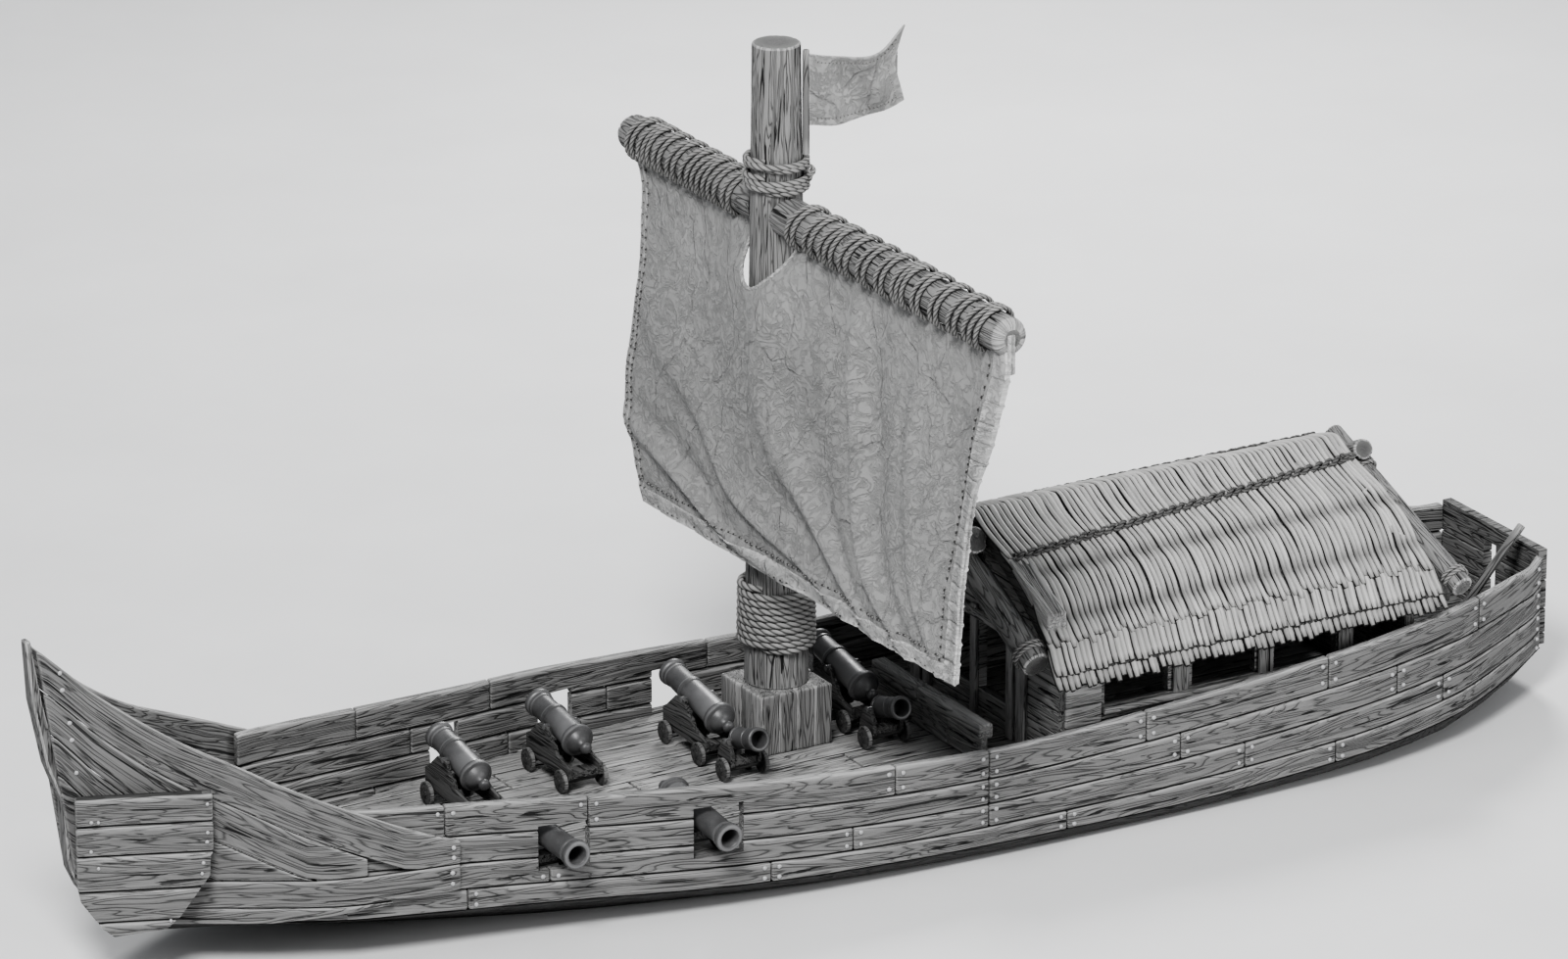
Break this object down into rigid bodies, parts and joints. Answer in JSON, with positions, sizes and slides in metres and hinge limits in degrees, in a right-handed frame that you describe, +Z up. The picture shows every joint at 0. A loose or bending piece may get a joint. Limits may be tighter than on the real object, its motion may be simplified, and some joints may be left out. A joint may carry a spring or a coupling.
{
  "type": "sailing gunboat",
  "caption": "Flat-bottomed planked sailing boat with a square sail on one mast, a thatched cabin aft and wheeled guns on deck",
  "frame": {"origin": "on the hull's centreline amidships, at the height of the flat bottom", "axes": "+X towards the bow, +Y to port, +Z up"},
  "size_m": [15.32, 6.7791, 7.33],
  "materials": {
    "weathered_wood": "weathered, worn edges",
    "carriage_wood": "dark, worn",
    "hemp_rope": "twisted hemp",
    "sail_cloth": "coarse woven",
    "thatch": "dry reed",
    "gun_iron": "dark, dull"
  },
  "bodies": {
    "hull": {"hull_side_port": "weathered_wood", "hull_side_starboard": "weathered_wood", "hull_bottom": "weathered_wood", "transom": "weathered_wood", "deck": "weathered_wood", "bow_wing_port": "weathered_wood", "bow_wing_starboard": "weathered_wood", "stem": "weathered_wood", "bow_cheek": "weathered_wood", "mast_step": "weathered_wood", "mast": "weathered_wood", "flagstaff": "weathered_wood", "cabin_wall_port": "weathered_wood", "cabin_wall_starboard": "weathered_wood", "cabin_wall_front": "weathered_wood", "cabin_wall_rear": "weathered_wood", "rafters_front": "weathered_wood", "rafters_rear": "weathered_wood", "pole_step": "weathered_wood", "mast_coil": "hemp_rope", "flag_lashing": "hemp_rope", "flag": "sail_cloth", "thatch_roof": "thatch", "gun_starboard_1_carriage": "carriage_wood", "gun_starboard_2_carriage": "carriage_wood", "gun_starboard_3_carriage": "carriage_wood", "gun_starboard_4_carriage": "carriage_wood", "gun_port_1_carriage": "carriage_wood", "gun_port_2_carriage": "carriage_wood", "gun_port_3_carriage": "carriage_wood", "gun_port_4_carriage": "carriage_wood"},
    "yard": {"yard_port": "weathered_wood", "yard_starboard": "weathered_wood", "yard_parrel": "hemp_rope", "sail": "sail_cloth"},
    "steering_pole": {"steering_pole": "weathered_wood"},
    "gun_starboard_1_trucks_front": {"gun_starboard_1_trucks_front": "carriage_wood"},
    "gun_starboard_1_trucks_rear": {"gun_starboard_1_trucks_rear": "carriage_wood"},
    "gun_starboard_1_barrel": {"gun_starboard_1_barrel": "gun_iron"},
    "gun_starboard_2_trucks_front": {"gun_starboard_2_trucks_front": "carriage_wood"},
    "gun_starboard_2_trucks_rear": {"gun_starboard_2_trucks_rear": "carriage_wood"},
    "gun_starboard_2_barrel": {"gun_starboard_2_barrel": "gun_iron"},
    "gun_starboard_3_trucks_front": {"gun_starboard_3_trucks_front": "carriage_wood"},
    "gun_starboard_3_trucks_rear": {"gun_starboard_3_trucks_rear": "carriage_wood"},
    "gun_starboard_3_barrel": {"gun_starboard_3_barrel": "gun_iron"},
    "gun_starboard_4_trucks_front": {"gun_starboard_4_trucks_front": "carriage_wood"},
    "gun_starboard_4_trucks_rear": {"gun_starboard_4_trucks_rear": "carriage_wood"},
    "gun_starboard_4_barrel": {"gun_starboard_4_barrel": "gun_iron"},
    "gun_port_1_trucks_front": {"gun_port_1_trucks_front": "carriage_wood"},
    "gun_port_1_trucks_rear": {"gun_port_1_trucks_rear": "carriage_wood"},
    "gun_port_1_barrel": {"gun_port_1_barrel": "gun_iron"},
    "gun_port_2_trucks_front": {"gun_port_2_trucks_front": "carriage_wood"},
    "gun_port_2_trucks_rear": {"gun_port_2_trucks_rear": "carriage_wood"},
    "gun_port_2_barrel": {"gun_port_2_barrel": "gun_iron"},
    "gun_port_3_trucks": {"gun_port_3_trucks": "carriage_wood"},
    "gun_port_3_barrel": {"gun_port_3_barrel": "gun_iron"},
    "gun_port_4_trucks": {"gun_port_4_trucks": "carriage_wood"},
    "gun_port_4_barrel": {"gun_port_4_barrel": "gun_iron"}
  },
  "joints": [
    {"name": "yard_swing", "type": "hinge", "parent": "hull", "child": "yard", "pos_m": [-0.1, -0.63, 5.58], "axis": [0, 0, 1], "range_deg": [-35, 35]},
    {"name": "steering_pole_swing", "type": "hinge", "parent": "hull", "child": "steering_pole", "pos_m": [-6.66, 0.6, 0.7], "axis": [0, 1, 0], "range_deg": [-4, 40]},
    {"name": "gun_starboard_1_front_roll", "type": "hinge", "parent": "hull", "child": "gun_starboard_1_trucks_front", "pos_m": [3.21, -0.8, 0.6103], "axis": [1, 0, 0], "continuous": true},
    {"name": "gun_starboard_1_rear_roll", "type": "hinge", "parent": "hull", "child": "gun_starboard_1_trucks_rear", "pos_m": [3.21, -0.18, 0.6103], "axis": [1, 0, 0], "continuous": true},
    {"name": "gun_starboard_1_elevate", "type": "hinge", "parent": "hull", "child": "gun_starboard_1_barrel", "pos_m": [3.21, -0.56, 1], "axis": [-1, 0, 0], "range_deg": [-6, 10]},
    {"name": "gun_starboard_2_front_roll", "type": "hinge", "parent": "hull", "child": "gun_starboard_2_trucks_front", "pos_m": [2.04, -1.06, 0.6103], "axis": [1, 0, 0], "continuous": true},
    {"name": "gun_starboard_2_rear_roll", "type": "hinge", "parent": "hull", "child": "gun_starboard_2_trucks_rear", "pos_m": [2.04, -0.44, 0.6103], "axis": [1, 0, 0], "continuous": true},
    {"name": "gun_starboard_2_elevate", "type": "hinge", "parent": "hull", "child": "gun_starboard_2_barrel", "pos_m": [2.04, -0.82, 1], "axis": [-1, 0, 0], "range_deg": [-6, 10]},
    {"name": "gun_starboard_3_front_roll", "type": "hinge", "parent": "hull", "child": "gun_starboard_3_trucks_front", "pos_m": [0.645, -1.02, 0.6103], "axis": [1, 0, 0], "continuous": true},
    {"name": "gun_starboard_3_rear_roll", "type": "hinge", "parent": "hull", "child": "gun_starboard_3_trucks_rear", "pos_m": [0.645, -0.4, 0.6103], "axis": [1, 0, 0], "continuous": true},
    {"name": "gun_starboard_3_elevate", "type": "hinge", "parent": "hull", "child": "gun_starboard_3_barrel", "pos_m": [0.645, -0.78, 1], "axis": [-1, 0, 0], "range_deg": [-6, 10]},
    {"name": "gun_starboard_4_front_roll", "type": "hinge", "parent": "hull", "child": "gun_starboard_4_trucks_front", "pos_m": [-0.89, -1.04, 0.6103], "axis": [1, 0, 0], "continuous": true},
    {"name": "gun_starboard_4_rear_roll", "type": "hinge", "parent": "hull", "child": "gun_starboard_4_trucks_rear", "pos_m": [-0.89, -0.42, 0.6103], "axis": [1, 0, 0], "continuous": true},
    {"name": "gun_starboard_4_elevate", "type": "hinge", "parent": "hull", "child": "gun_starboard_4_barrel", "pos_m": [-0.89, -0.8, 1], "axis": [-1, 0, 0], "range_deg": [-6, 10]},
    {"name": "gun_port_1_front_roll", "type": "hinge", "parent": "hull", "child": "gun_port_1_trucks_front", "pos_m": [3.27, 1.13, 0.6103], "axis": [1, 0, 0], "continuous": true},
    {"name": "gun_port_1_rear_roll", "type": "hinge", "parent": "hull", "child": "gun_port_1_trucks_rear", "pos_m": [3.27, 0.51, 0.6103], "axis": [1, 0, 0], "continuous": true},
    {"name": "gun_port_1_elevate", "type": "hinge", "parent": "hull", "child": "gun_port_1_barrel", "pos_m": [3.27, 0.89, 0.9], "axis": [1, 0, 0], "range_deg": [-3, 2]},
    {"name": "gun_port_2_front_roll", "type": "hinge", "parent": "hull", "child": "gun_port_2_trucks_front", "pos_m": [1.86, 1.34, 0.6103], "axis": [1, 0, 0], "continuous": true},
    {"name": "gun_port_2_rear_roll", "type": "hinge", "parent": "hull", "child": "gun_port_2_trucks_rear", "pos_m": [1.86, 0.72, 0.6103], "axis": [1, 0, 0], "continuous": true},
    {"name": "gun_port_2_elevate", "type": "hinge", "parent": "hull", "child": "gun_port_2_barrel", "pos_m": [1.86, 1.1, 0.9], "axis": [1, 0, 0], "range_deg": [-3, 2]},
    {"name": "gun_port_3_roll", "type": "hinge", "parent": "hull", "child": "gun_port_3_trucks", "pos_m": [0.64, 0.04, 0.6103], "axis": [1, 0, 0], "continuous": true},
    {"name": "gun_port_3_elevate", "type": "hinge", "parent": "hull", "child": "gun_port_3_barrel", "pos_m": [0.64, -0.005, 0.86], "axis": [1, 0, 0], "range_deg": [-8, 10]},
    {"name": "gun_port_4_roll", "type": "hinge", "parent": "hull", "child": "gun_port_4_trucks", "pos_m": [-0.86, 0.02, 0.6103], "axis": [1, 0, 0], "continuous": true},
    {"name": "gun_port_4_elevate", "type": "hinge", "parent": "hull", "child": "gun_port_4_barrel", "pos_m": [-0.86, -0.025, 0.86], "axis": [1, 0, 0], "range_deg": [-8, 10]}
  ]
}
